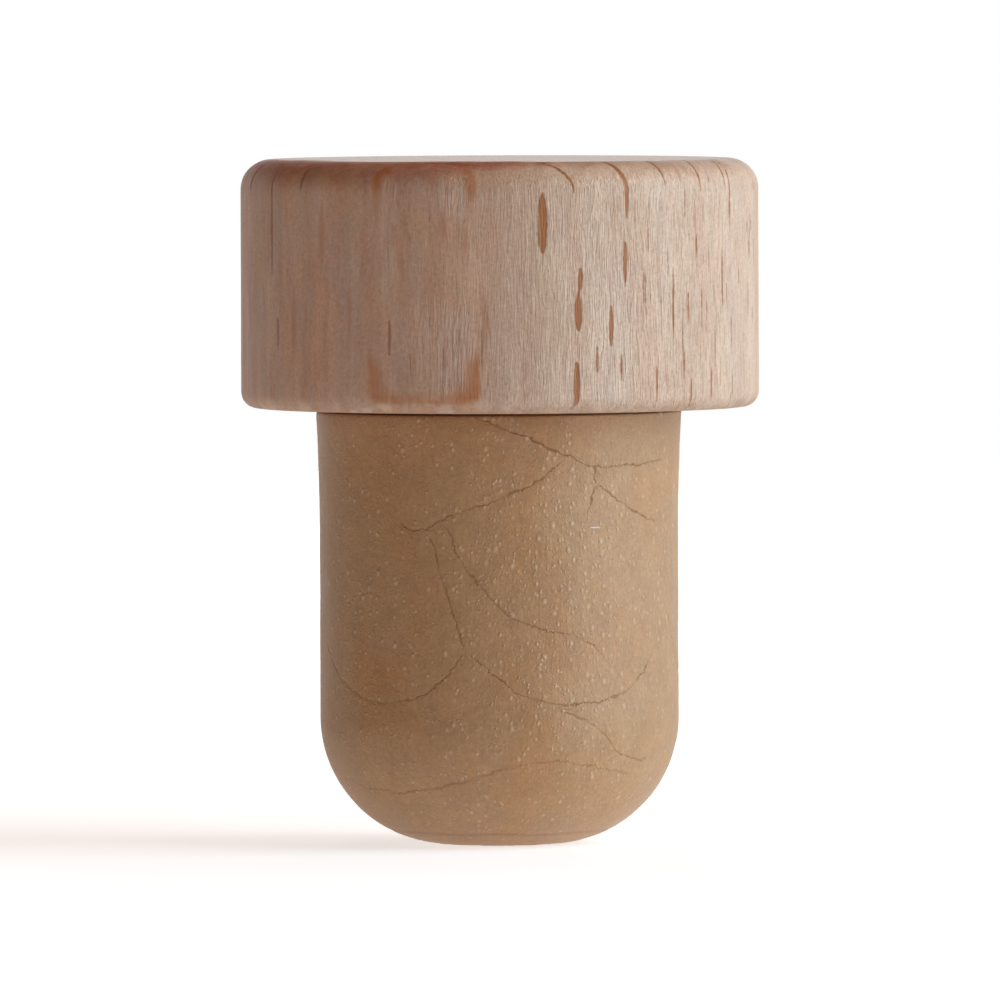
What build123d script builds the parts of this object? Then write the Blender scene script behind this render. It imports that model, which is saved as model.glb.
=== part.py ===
from build123d import *

import os

# Bar-top bottle stopper: a turned beech head glued on a moulded synthetic cork.
# Millimetres, +Z up along the stopper's axis, origin at the centre of the foot.

# Head, turned from one beech blank with the grain running along the axis
head_diameter = 28.0
head_height = 13.4
crown_rounding = 1.6  # edge round the top face
skirt_rounding = 0.85  # edge round the underside

# Shank, the part that goes into the bottle neck
shank_diameter = 19.4  # straight sealing wall
shank_length = 23.6  # from the foot to the underside of the head
foot_flat_diameter = 5.6  # flat left in the middle of the rounded foot
flare_length = 7.1  # stretch under the head where the wall swells
flare_step = 0.2  # how far it has swollen, on the radius, where it meets the head
collar_edge = 0.15  # broken edge at the top of the shank

# Tenon, moulded in one with the shank, that holds it in the head
tenon_diameter = 13.0
tenon_length = 6.5
tenon_chamfer = 0.8
key_count = 2  # ring grooves that the glue sets into
key_width = 1.0
key_depth = 0.4

# Glue that fills the bore round the tenon
glue_wall = 0.15
glue_bed = 0.5
mouth_chamfer = 0.3  # relief at the mouth of the bore, for squeezed-out glue

# Worked out from the sizes above
head_radius = head_diameter / 2
shank_radius = shank_diameter / 2
collar_radius = shank_radius + flare_step
foot_flat_radius = foot_flat_diameter / 2
foot_rounding = shank_radius - foot_flat_radius
flare_start = shank_length - flare_length
head_top = shank_length + head_height
tenon_radius = tenon_diameter / 2
tenon_top = shank_length + tenon_length
bore_radius = tenon_radius + glue_wall
bore_floor = tenon_top + glue_bed
key_pitch = tenon_length / (key_count + 1)


def turned(outline):
    """Solid of revolution about Z of a closed outline drawn in the XZ plane."""
    return revolve(make_face(Plane.XZ * outline), Axis.Z)


def disc(radius, low, high):
    """Upright cylinder between two heights."""
    return Pos(0, 0, low) * Cylinder(radius, high - low, align=(Align.CENTER, Align.CENTER, Align.MIN))


def bore_space():
    """Blind bore in the underside of the head, with its relieved mouth."""
    outline = Polyline(
        (0, shank_length),
        (bore_radius + mouth_chamfer, shank_length),
        (bore_radius, shank_length + mouth_chamfer),
        (bore_radius, bore_floor),
        (0, bore_floor),
        close=True,
    )
    return turned(outline)


def wooden_head():
    """Turned block with rounded edges and the blind bore for the tenon."""
    blank = disc(head_radius, shank_length, head_top)
    blank = fillet(blank.edges().sort_by(Axis.Z)[-1], crown_rounding)
    blank = fillet(blank.edges().sort_by(Axis.Z)[0], skirt_rounding)
    return blank - bore_space()


def shank_body():
    """Flat foot, quarter-round lead-in, straight wall and the swelling under the head."""
    foot_edge = (foot_flat_radius, 0)
    wall_foot = (shank_radius, foot_rounding)
    wall_top = (shank_radius, flare_start)
    collar = (collar_radius, shank_length)
    outline = [
        Line((0, 0), foot_edge),
        TangentArc(foot_edge, wall_foot, tangent=(1, 0)),
        Line(wall_foot, wall_top),
        TangentArc(wall_top, collar, tangent=(0, 1)),
        Line(collar, (0, shank_length)),
        Line((0, shank_length), (0, 0)),
    ]
    body = turned(Curve() + outline)
    return fillet(body.edges().sort_by(Axis.Z)[-1], collar_edge)


def tenon():
    """Post on top of the shank, with a chamfered nose and its glue keys."""
    post = disc(tenon_radius, shank_length, tenon_top)
    post = chamfer(post.edges().sort_by(Axis.Z)[-1], tenon_chamfer)
    for key in range(1, key_count + 1):
        middle = shank_length + key * key_pitch
        ring = disc(tenon_radius + glue_wall, middle - key_width / 2, middle + key_width / 2)
        post -= ring - disc(tenon_radius - key_depth, middle - key_width, middle + key_width)
    return post


def glue_fill():
    """Glue that has taken the whole space between the bore and the tenon."""
    return bore_space() - tenon()


def cork_shank():
    """The one moulding: shank and tenon."""
    return shank_body() + tenon()


solids = {
    "wooden_head": wooden_head(),
    "cork_shank": cork_shank(),
    "glue_fill": glue_fill(),
}
os.makedirs("parts", exist_ok=True)
for name, solid in solids.items():
    export_step(solid, f"parts/{name}.step")
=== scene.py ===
# %% [markdown]
# # A bar-top bottle stopper
# The object is a beech head, turned on a lathe, glued on a moulded plastic cork. The solid model
# of it is loaded first and stays as it is: it says where everything is and how large it is. The
# pieces made here are finer skins of the same shapes, with the grain, the flow lines and the
# small unevenness that a plain solid lacks. Blender counts in metres; the sizes of a stopper are
# easier to read in millimetres, so the shapes are worked out in millimetres and turned into
# metres when a mesh is made.

# %% Load the solid model
import bpy
import numpy as np
from mathutils import Matrix, Vector


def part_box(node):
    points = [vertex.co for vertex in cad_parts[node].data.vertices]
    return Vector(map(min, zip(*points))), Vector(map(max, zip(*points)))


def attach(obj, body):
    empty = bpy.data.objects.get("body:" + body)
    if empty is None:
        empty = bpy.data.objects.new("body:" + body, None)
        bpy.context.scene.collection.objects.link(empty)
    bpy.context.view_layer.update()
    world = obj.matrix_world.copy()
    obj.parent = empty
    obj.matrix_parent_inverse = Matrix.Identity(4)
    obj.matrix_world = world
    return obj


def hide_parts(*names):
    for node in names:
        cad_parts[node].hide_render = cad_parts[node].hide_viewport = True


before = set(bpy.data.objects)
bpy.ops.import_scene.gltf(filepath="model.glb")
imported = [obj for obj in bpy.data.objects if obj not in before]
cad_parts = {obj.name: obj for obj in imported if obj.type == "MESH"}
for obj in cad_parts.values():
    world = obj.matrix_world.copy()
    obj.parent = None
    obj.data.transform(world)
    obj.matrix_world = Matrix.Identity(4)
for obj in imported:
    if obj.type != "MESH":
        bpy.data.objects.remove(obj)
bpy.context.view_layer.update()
MM = 0.001  # one millimetre in metres

# %% [markdown]
# ## The camera
# The photograph was taken from far away with a long lens, a little above the head. That can be
# read off it: the top face is almost edge-on, while the foot is seen from slightly higher. A
# camera is set by where it stands, what it looks at, and how wide the view is there. The lens
# follows from the width of the view: lens / sensor = distance / width.

# %% Camera
EYE = Vector((-0.027, -907.0, 50.7)) * MM  # where the camera stands
AIM = Vector((-0.027, 0, 18.55)) * MM  # what it looks at
VIEW_WIDTH = 54.05 * MM  # how much of the object's plane the picture takes in
LEAN = 0.0035  # radians by which the photograph hangs out of level
SENSOR_WIDTH = 36  # mm, an ordinary full-frame sensor

camera = bpy.data.objects.new("camera", bpy.data.cameras.new("camera"))
bpy.context.collection.objects.link(camera)
bpy.context.scene.camera = camera
camera.data.sensor_width = SENSOR_WIDTH
camera.data.lens = SENSOR_WIDTH * (AIM - EYE).length / VIEW_WIDTH
camera.data.clip_start, camera.data.clip_end = 0.01, 100
look = (AIM - EYE).to_track_quat("-Z", "Y").to_matrix().to_4x4()
camera.matrix_world = Matrix.Translation(EYE) @ look @ Matrix.Rotation(-LEAN, 4, "Z")
print("lens, mm:", round(camera.data.lens, 1))

# %% [markdown]
# ## Turned shapes as grids
# Both visible pieces were made round an axis: one on a lathe, one in a round mould. Such a
# surface is a function of two parameters. The first runs along the outline, from the top over
# the outside to the bottom, and the second is the angle round the axis. A primitive with a
# modifier could give the plain shape, but a grid of points worked out with numpy can also
# carry relief: each point is moved along its normal by a height that depends on where it is.
# The angle is called azimuth here. It is 0 at the side that faces the camera and grows to the
# right.

# %% Outlines and turned grids
def outline(*stretches):
    """Joins stretches of an outline, given as arrays of (radius, height), and leaves out
    points that repeat."""
    points = np.vstack(stretches)
    step = np.r_[1.0, np.hypot(*np.diff(points, axis=0).T)]
    return points[step > 1e-6]


def straight(start, end, count):
    """Evenly spaced points from start to end: start + t (end - start)."""
    return np.linspace(start, end, count)


def rounding(centre, radius, from_angle, to_angle, count):
    """Points on an arc: centre + radius (cos a, sin a), with a in degrees."""
    a = np.radians(np.linspace(from_angle, to_angle, count))
    return np.array(centre) + radius * np.c_[np.cos(a), np.sin(a)]


def turn(profile, columns):
    """Turns an outline round the axis. A point at radius r, height z and azimuth a lies at
    (r sin a, -r cos a, z). Gives the points, their azimuths and the outward normals, which are
    the outline's own normals turned the same way."""
    azimuth = np.linspace(-np.pi, np.pi, columns, endpoint=False)
    along = np.gradient(profile, axis=0)
    out = np.c_[-along[:, 1], along[:, 0]]
    out /= np.linalg.norm(out, axis=1, keepdims=True)
    swing = np.stack([np.sin(azimuth), -np.cos(azimuth)], axis=-1)

    def sweep(pairs):
        flat = pairs[:, None, :1] * swing[None]
        return np.concatenate([flat, np.broadcast_to(pairs[:, None, 1:], flat[..., :1].shape)], axis=-1)

    return sweep(profile), np.broadcast_to(azimuth, (len(profile), columns)), sweep(out)


print("a quarter of a circle in 3 points:", rounding((0, 0), 1, 90, 0, 3).round(2).tolist())


# %% [markdown]
# ## Random unevenness
# Wood fibres and moulded foam are uneven in a soft, random way. A lattice of random numbers,
# blended smoothly between its corners, gives that. Stretching the lattice along the axis turns
# round bumps into fibres.

# %% Soft noise
LATTICE = 96


def soft_noise(points, seed):
    """Values from -1 to 1. Each point blends the random numbers at the eight corners of its
    unit cell; the weight along each side is 3 t t - 2 t t t."""
    table = np.random.default_rng(seed).uniform(-1, 1, (LATTICE,) * 3)
    low = np.floor(points).astype(int)
    t = points - low
    t = t * t * (3 - 2 * t)
    total = np.zeros(points.shape[:-1])
    for corner in np.ndindex(2, 2, 2):
        near = (low + corner) % LATTICE
        weight = np.prod(np.where(corner, t, 1 - t), axis=-1)
        total += weight * table[near[..., 0], near[..., 1], near[..., 2]]
    return total


def ease(value, low, high):
    """0 at low and before, 1 at high and past it, and 3 t t - 2 t t t between. Low may be
    the larger of the two, and then it falls."""
    t = np.clip((value - low) / (high - low), 0, 1)
    return t * t * (3 - 2 * t)


print("cells of the lattice:", LATTICE**3)

# %% [markdown]
# ## From a grid to a mesh
# The grid's first and last rows shrink to one point each, on the axis, so they become poles
# with a fan of triangles. All other rows are joined by quads, and the last column is joined to
# the first, so the skin is closed. Blender takes the arrays in one go with foreach_set.

# %% Closed meshes from turned grids
def skin(name, points, **fields):
    """Makes a closed mesh from a grid of points in millimetres whose first and last rows lie on
    the axis. Each named field is a grid of values that is kept as an attribute of the mesh."""
    rows, columns = points.shape[0] - 2, points.shape[1]
    index = 1 + np.arange(rows * columns).reshape(rows, columns)
    right = np.roll(index, -1, axis=1)
    top, bottom = 0, rows * columns + 1
    quads = np.stack([index[:-1], index[1:], right[1:], right[:-1]], axis=-1).reshape(-1, 4)
    fans = np.r_[
        np.c_[np.full(columns, top), index[0], right[0]],
        np.c_[index[-1], np.full(columns, bottom), right[-1]],
    ]
    corners = np.r_[quads.ravel(), fans.ravel()].astype(np.int32)
    sizes = np.r_[np.full(len(quads), 4), np.full(len(fans), 3)]
    flat = np.r_[points[:1, 0], points[1:-1].reshape(-1, 3), points[-1:, 0]] * MM

    mesh = bpy.data.meshes.new(name)
    mesh.vertices.add(len(flat))
    mesh.vertices.foreach_set("co", flat.astype(np.float32).ravel())
    mesh.loops.add(len(corners))
    mesh.loops.foreach_set("vertex_index", corners)
    mesh.polygons.add(len(sizes))
    mesh.polygons.foreach_set("loop_start", (np.cumsum(sizes) - sizes).astype(np.int32))
    mesh.polygons.foreach_set("use_smooth", np.ones(len(sizes), bool))
    for field, values in fields.items():
        values = np.r_[values[0, :1], values[1:-1].ravel(), values[-1, :1]]
        mesh.attributes.new(field, "FLOAT", "POINT").data.foreach_set("value", values.astype(np.float32))
    mesh.update(calc_edges=True)
    mesh.validate()
    piece = bpy.data.objects.new(name, mesh)
    bpy.context.collection.objects.link(piece)
    print(name, "triangles:", int((sizes - 2).sum()))
    return piece


# %% [markdown]
# ## How the beech grew
# The blank was cut from the trunk beside its heart, so the growth rings are parts of large
# circles round a point outside the head, and the rays are thin upright sheets that fan out
# from the same point. Where the turned wall faces that point, it cuts the rays end-on and they
# show as short brown spindles. A quarter of a turn away the wall runs along them, and only the
# rings show, as upright lines. The photograph has both, and the way in which its spindles lean
# over the top edge tells where the heart was. Working the figure out from the tree makes the
# side, the top face and the edge between them agree, which a flat pattern would not.

# %% The tree
HEART = np.array([19.7, -21.0])  # where the trunk's heart was, seen from above, mm


def tree_place(points):
    """Distance from the heart, and the angle round it, of each point."""
    away = points[..., :2] - HEART
    return np.hypot(away[..., 0], away[..., 1]), np.arctan2(away[..., 1], away[..., 0])


# Rays that show on the front: azimuth on the wall in degrees, lower and upper end in mm,
# thickness of the sheet in mm
RAYS = [
    (9.4, 31.9, 35.6, 0.29),
    (17.9, 30.0, 31.5, 0.22),
    (17.4, 27.8, 30.1, 0.30),
    (28.6, 30.2, 33.1, 0.22),
    (29.0, 33.7, 38.0, 0.24),
    (16.4, 35.2, 38.3, 0.14),
    (39.4, 35.4, 38.3, 0.13),
    (50.2, 35.1, 38.1, 0.13),
    (61.9, 32.8, 38.0, 0.12),
    (59.8, 35.4, 38.3, 0.12),
    (25.1, 27.0, 29.5, 0.22),
    (27.6, 25.2, 27.0, 0.10),
    (17.0, 23.6, 26.7, 0.24),
    (36.8, 24.0, 26.3, 0.12),
    (41.5, 27.0, 31.6, 0.12),
    (46.1, 28.1, 30.3, 0.12),
    (44.8, 25.1, 27.0, 0.12),
    (47.0, 23.7, 25.5, 0.12),
    (54.0, 23.9, 26.1, 0.12),
    (48.8, 31.7, 33.2, 0.14),
    (58.5, 28.8, 32.4, 0.10),
    (7.8, 24.2, 26.7, 0.12),
    (21.8, 25.5, 27.4, 0.10),
]
HEAD_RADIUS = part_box("wooden_head")[1].x / MM
RAY_REACH = 5.0  # how far a ray runs into the wood from the wall, mm
SMALL_RAYS = 420  # how many more are tried
LEAST_FACING = 0.5  # a ray shows where the wall faces the heart at least this much


def small_rays(count):
    """More rays, thin and short, on the right of the front and on the sides that the photograph
    doesn't show. Its middle and its left have only those listed above."""
    rng = np.random.default_rng(9)
    azimuth = rng.uniform(-180, 180, count)
    middle = rng.uniform(23, 37.5, count)
    length = rng.uniform(0.8, 3.2, count)
    thickness = rng.uniform(0.035, 0.09, count)
    unseen = np.abs(azimuth + 10) > 85
    broad = unseen & (rng.uniform(0, 1, count) < 0.2)
    length = np.where(broad, length + 1, length)
    thickness = np.where(broad, thickness * 3, thickness)
    rows = np.c_[azimuth, middle - length / 2, middle + length / 2, thickness]
    kept = unseen | (rng.uniform(0, 1, count) < 0.6)
    return rows[kept & ((azimuth > 33) | (azimuth < -100))].tolist()


ALL_RAYS = RAYS + small_rays(SMALL_RAYS)


def ray_depth(points):
    """How deep inside a ray each point is, in mm, and below 0 outside. A ray is a sheet that
    looks like a spindle from the heart: its half thickness is T/2 (1 - |h|^2.6), with h from -1
    to 1 over its height, and it thins out away from the wall. Rays that would lie almost flat in
    the wall are left out, because such ones hardly show in the photograph."""
    distance, angle = tree_place(points)
    height = points[..., 2]
    depth = np.full(height.shape, -0.2)
    for azimuth, low, high, thickness in ALL_RAYS:
        a = np.radians(azimuth)
        outward = np.array([np.sin(a), -np.cos(a)])
        wall_distance, wall_angle = tree_place(outward * HEAD_RADIUS)
        facing = abs(np.dot(outward, [np.cos(wall_angle), np.sin(wall_angle)]))
        if facing < LEAST_FACING:
            continue
        near = (height > low) & (height < high) & (np.abs(distance - wall_distance) < RAY_REACH)
        across = np.abs(angle[near] - wall_angle) * wall_distance
        h = (2 * height[near] - low - high) / (high - low)
        reach = 1 - ((distance[near] - wall_distance) / RAY_REACH) ** 2
        half = thickness / 2 * (1 - np.abs(h) ** 2.6) * reach
        depth[near] = np.maximum(depth[near], half - across)
    return depth


RING_WIDTH = 2.15  # mm between one year's line and the next; the material draws them
print("rays:", len(RAYS), "listed,", len(ALL_RAYS), "in all")

# %% [markdown]
# ## The turned head
# The head is a short round block with a soft top edge and a smaller rounding underneath. Its
# underside has the blind bore for the cork's tenon. A cylinder with two bevels would give the
# same shape; an outline of straight stretches and arcs has its points where the relief and
# the marks need them, and none where the shape is plain and hidden.

# %% Outline of the head
HEAD_TOP, HEAD_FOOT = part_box("wooden_head")[1].z / MM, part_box("wooden_head")[0].z / MM
CROWN, SKIRT = 1.6, 0.85  # roundings of the upper and the lower edge, mm
BORE_RADIUS, BORE_TOP, BORE_MOUTH = 6.65, 30.6, 0.3  # mm
RUBBED_BAND = 0.9  # mm of the top face that get closer rows, for the rubbing
HEAD_COLUMNS = 1440

crown_inner = HEAD_RADIUS - CROWN
head_outline = outline(
    straight((0, HEAD_TOP), (crown_inner - RUBBED_BAND, HEAD_TOP), 10),
    straight((crown_inner - RUBBED_BAND, HEAD_TOP), (crown_inner, HEAD_TOP), 7),
    rounding((crown_inner, HEAD_TOP - CROWN), CROWN, 90, 0, 12),
    straight((HEAD_RADIUS, HEAD_TOP - CROWN), (HEAD_RADIUS, HEAD_FOOT + SKIRT), 25),
    rounding((HEAD_RADIUS - SKIRT, HEAD_FOOT + SKIRT), SKIRT, 0, -90, 7),
    straight((HEAD_RADIUS - SKIRT, HEAD_FOOT), (BORE_RADIUS + BORE_MOUTH, HEAD_FOOT), 5),
    straight((BORE_RADIUS, HEAD_FOOT + BORE_MOUTH), (BORE_RADIUS, BORE_TOP), 3),
    straight((BORE_RADIUS, BORE_TOP), (0, BORE_TOP), 3),
)
head_points, head_azimuth, head_normals = turn(head_outline, HEAD_COLUMNS)
print("head rows:", len(head_outline), "columns:", HEAD_COLUMNS)

# %% [markdown]
# ## Marks on the head
# Some marks sit on the wood. Something wet, perhaps a label, left a brown frame with rounded
# corners on the front, and inside it the wet raised the fibres. The lathe's tool rubbed the top
# edge until it turned dark red-brown, more in some places than in others. Painted textures
# could hold such marks; here each is a mask that a formula gives for every point of the grid,
# so it can be moved or widened by changing one value.

# %% Masks on the head
FRAME_MIDDLE = (-17.2, 30.47)  # azimuth in degrees, height in mm
FRAME_HALF = (3.07, 6.33)  # half its width along the wall and half its height, mm
FRAME_CORNER = 0.8  # radius of its corners, mm
FRAME_TAPER = 0.06  # share by which it is narrower at the top than in the middle
WALL_FROM = 13  # mm from the axis; farther out lies the wall with its roundings


def radius_of(points):
    """Distance from the axis: the root of x x + y y."""
    return np.hypot(points[..., 0], points[..., 1])


def frame_place(points, azimuth):
    """The place in the label's frame, in half widths across and half heights up."""
    up = (points[..., 2] - FRAME_MIDDLE[1]) / FRAME_HALF[1]
    across = (azimuth - np.radians(FRAME_MIDDLE[0])) * HEAD_RADIUS / FRAME_HALF[0]
    return across / (1 - FRAME_TAPER * up), up


def frame_depth(points, azimuth):
    """How deep inside the label's outline each point is, in mm. The outline is a rectangle with
    round corners: beyond the straight parts the distance is taken from the corner's centre."""
    across, up = frame_place(points, azimuth)
    qx = np.abs(across) * FRAME_HALF[0] - (FRAME_HALF[0] - FRAME_CORNER)
    qy = np.abs(up) * FRAME_HALF[1] - (FRAME_HALF[1] - FRAME_CORNER)
    past = np.hypot(np.maximum(qx, 0), np.maximum(qy, 0)) + np.minimum(np.maximum(qx, qy), 0)
    return FRAME_CORNER - past


def stain_mask(points, azimuth):
    """The brown frame: a band inside the label's outline, with a crisp outer edge and a soft
    inner one. It is 0.34 mm wide along the bottom, swells to 1.3 mm in the lower corners, and
    shows again as two short hooks in the upper corners."""
    across, up = frame_place(points, azimuth)
    uneven = 0.09 * soft_noise(points * 1.1, 21) + 0.05 * soft_noise(points * 3.5, 26)
    depth = frame_depth(points, azimuth) + uneven
    corner = ease(np.abs(across), 0.25, 0.9) * ease(np.abs(up), 0.42, 0.92)
    width = 0.34 + (0.95 - 0.6 * (up > 0)) * corner
    band = ease(depth, -0.12, 0.14) * ease(depth, 1.6 * width, 0.2 * width)
    low = ease(up, -0.46, -0.72) * (0.85 - 0.2 * ease(across, -0.2, -0.9) + 0.15 * corner)
    high = ease(up, 0.66, 0.84) * ease(np.abs(across), 0.55, 0.85)
    high *= 0.65 + 0.2 * ease(across, 0.2, -0.2)
    patchy = 0.12 * ease(soft_noise(points * [0.6, 0.6, 0.3], 27), -0.2, 0.5)
    return band * np.clip(low + high + patchy, 0, 1) * (radius_of(points) > WALL_FROM)


def wet_mask(points, azimuth):
    """The wood inside the frame, where the wet raised its fibres: patches of a stretched noise."""
    patch = ease(soft_noise(points * [0.5, 0.5, 0.22], 22), -0.35, 0.2)
    return ease(frame_depth(points, azimuth), 0.2, 0.9) * patch * (radius_of(points) > WALL_FROM)


# How strongly the top edge is rubbed: azimuth in degrees and strength
RUBBED = [
    (-100, 0.3), (-66, 0.78), (-50, 0.62), (-35, 0.58), (-23, 0.76), (-12, 1.0),
    (-1, 0.95), (6, 0.8), (14, 0.5), (32, 0.2), (50, 0.05),
]


def burnish_mask(points, azimuth):
    """The rubbed top edge. With d for how far a point lies below the top, it fades like
    exp(-(d / w)^2). The width w is 0.3 mm and grows to 0.95 mm on the left, and is ragged like
    the fibres. On the top face it ends 0.4 mm inside the rounding, and up to 2 mm farther in
    where the rubbing is strong. The strength follows the list above, with patches on the sides
    that don't show."""
    here = np.degrees(azimuth)
    ragged = 1 + 0.4 * soft_noise(points * [1.6, 1.6, 0.15], 24)
    ragged += 0.35 * soft_noise(points * [0.5, 0.5, 0.1], 25)
    width = (0.3 + 0.65 * ease(here, -3, -25)) * ragged
    fade = np.exp(-(((HEAD_TOP - points[..., 2]) / width) ** 2))
    strength = np.interp(here, *zip(*RUBBED))
    inner = crown_inner - 0.4 - 2.0 * ease(strength, 0.5, 0.9) + 0.5 * soft_noise(points * 1.1, 28)
    rim = fade * ease(radius_of(points), inner - 0.35, inner + 0.35)
    patches = ease(soft_noise(points * [0.16, 0.16, 0.1], 23), 0.0, 0.4) * ease(np.abs(here + 10), 85, 110)
    return rim * np.clip(strength + 0.4 * patches, 0, 1)


stain = stain_mask(head_points, head_azimuth)
wet = wet_mask(head_points, head_azimuth)
rubbed = burnish_mask(head_points, head_azimuth)
for title, mask in (("stained", stain), ("wet", wet), ("rubbed", rubbed)):
    print("share of the grid that is", title, round(float((mask > 0.3).mean()), 3))

# %% [markdown]
# ## Lines in the head
# Other marks are in the wood: hairline cracks along the fibres, and soft brown streaks. Both
# are upright spindles, so one function serves them, with the places of those that the
# photograph shows and made-up places on the other sides. The mesh gets the depth inside a
# mark and not a mask, because a depth stays smooth between the points, and the material can
# cut a crisp edge from it. How squarely the wall faces the heart is worked out here too.

# %% Cracks, streaks and cut of the wood
def flat_sawn(points, normals):
    """1 where the wall faces the heart, so the rings run along it, and 0 where it cuts across
    them: the square of the cosine between the normal and the way to the heart."""
    away = points[..., :2] - HEART
    along = (away * normals[..., :2]).sum(-1) / np.hypot(away[..., 0], away[..., 1])
    return along**2


# Marks in line with the fibres: azimuth in degrees, lower and upper end and width in mm
CRACKS = [
    (-73, 35.2, 36.8, 0.16),
    (-60.8, 30.5, 36.7, 0.27),
    (-58.3, 26.8, 28.9, 0.26),
    (-49.5, 35.4, 36.8, 0.2),
    (-25, 26.3, 29.0, 0.22),
    (-20, 25.4, 27.0, 0.07),
    (-15.6, 33.4, 35.0, 0.10),
    (-12.5, 25.8, 27.6, 0.09),
    (-9, 26.8, 28.4, 0.07),
    (-4, 25.6, 28.4, 0.08),
]
SOFT_STREAKS = [
    (-52, 26.6, 30.6, 0.55),
    (-42.8, 31.2, 35.0, 0.60),
    (-35, 27.5, 30.5, 0.40),
    (-28, 33.4, 36.2, 0.50),
    (-12.4, 32.6, 34.6, 0.55),
    (-7.5, 31.8, 33.8, 0.45),
    (-6.2, 34.6, 36.2, 0.60),
    (-3.2, 26.5, 30.5, 0.45),
]


def more_marks(count, seed, length, width):
    """Marks of the same kind at random places round the head, but none on the front."""
    rng = np.random.default_rng(seed)
    azimuth = rng.uniform(-180, 180, count)
    middle = rng.uniform(24.5, 36, count)
    half = rng.uniform(0.2, 0.5, count) * length
    keep = np.abs(azimuth + 5) > 95
    marks = np.c_[azimuth, middle - half, middle + half, rng.uniform(0.6, 1, count) * width]
    return marks[keep].tolist()


def mark_depth(azimuth, points, marks):
    """How deep inside a mark each point of the wall is, in mm, and below 0 outside. A mark is a
    spindle: its half width is W/2 (1 - h h), with h from -1 to 1 over its height."""
    here, height = np.degrees(azimuth), points[..., 2]
    depth = np.full(height.shape, -0.5)
    for middle, low, high, width in marks:
        near = (height > low) & (height < high) & (np.abs(here - middle) < 4)
        across = np.radians(np.abs(here[near] - middle)) * HEAD_RADIUS
        h = (2 * height[near] - low - high) / (high - low)
        depth[near] = np.maximum(depth[near], width / 2 * (1 - h * h) - across)
    return np.where(radius_of(points) > WALL_FROM, depth, -0.5)


cracks = mark_depth(head_azimuth, head_points, CRACKS + more_marks(60, 61, 2.5, 0.09))
soft_streaks = mark_depth(head_azimuth, head_points, SOFT_STREAKS + more_marks(40, 62, 4.0, 0.6))
flat = flat_sawn(head_points, head_normals)
rays = ray_depth(head_points)
print("share of the grid in a ray:", round(float((rays > 0).mean()), 4))

# %% [markdown]
# ## The skin of the head
# Where the rings run along the wall, sanding leaves fibres standing: they are 0.1 mm wide and
# a few millimetres long, so the grid has many more columns than rows. Where the wall cuts
# across the rings it is smooth. A Displace modifier would need a texture for this; moving the
# points of the grid along their normals needs only what is known already. The relief goes
# only inwards from the turned size, so the skin stays inside the solid.

# %% Head
def head_relief(points, normals):
    """Height of the surface over the turned size, never above 0: fine fibres that are rough
    where the wall is flat-sawn, wet or end grain, broad waves across them, and rays and cracks
    that stand back a little."""
    outside = ease(radius_of(points), 11.3, 11.7) * ease(points[..., 2], HEAD_FOOT, HEAD_FOOT + 0.4)
    waver = 0.12 * soft_noise(points * [0.5, 0.5, 0.45], 11)[..., None] * [1, 1, 0]
    fibres = soft_noise((points + waver) * [6.5, 6.5, 0.8], 12)
    hairs = soft_noise((points + waver) * [15, 15, 1.6], 13)
    torn = ease(soft_noise(points * [1.4, 1.4, 0.5], 15), -0.1, 0.6)
    broad = soft_noise(points * [1.2, 1.2, 0.12], 14)
    end_grain = ease(normals[..., 2], 0.3, 0.9)
    level = ease(normals[..., 2], 0.9, 1)  # the flat top stays at its full height
    rough = 0.002 + 0.008 * flat * (0.4 + torn) + 0.011 * wet + 0.006 * end_grain * (1 - level)
    depth = rough * (fibres + hairs - 1.4) + 0.008 * (1 - level) * (broad - 1)
    depth -= 0.012 * ease(rays, -0.02, 0.05) + 0.03 * ease(cracks, -0.03, 0.04)
    return outside * np.minimum(depth, 0)


relief = head_relief(head_points, head_normals)
head = skin(
    "turned_head",
    head_points + relief[..., None] * head_normals,
    end_grain=np.clip(head_normals[..., 2], 0, 1),
    burnish=rubbed,
    flat_sawn=flat,
    ray_depth=rays,
    crack_depth=cracks,
    soft_streak=soft_streaks,
    stain=stain,
    wet=wet,
)
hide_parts("wooden_head")
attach(head, "root")
print("head relief, mm:", relief.min().round(3), "to", relief.max().round(3))

# %% [markdown]
# ## Flow lines on the cork
# The cork is moulded from foamed plastic. It enters the mould as thick tongues, and where two
# tongues meet they weld along a thin dark line. The lines that the photograph shows are given
# here as a few places each, joined by a smooth curve. The sides that it doesn't show get lines
# of the same kind, made up with a seeded generator.

# %% Flow lines
FLARE_STEP = 0.2  # how far the wall swells under the head
CORK_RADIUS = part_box("cork_shank")[1].x / MM - FLARE_STEP

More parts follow.
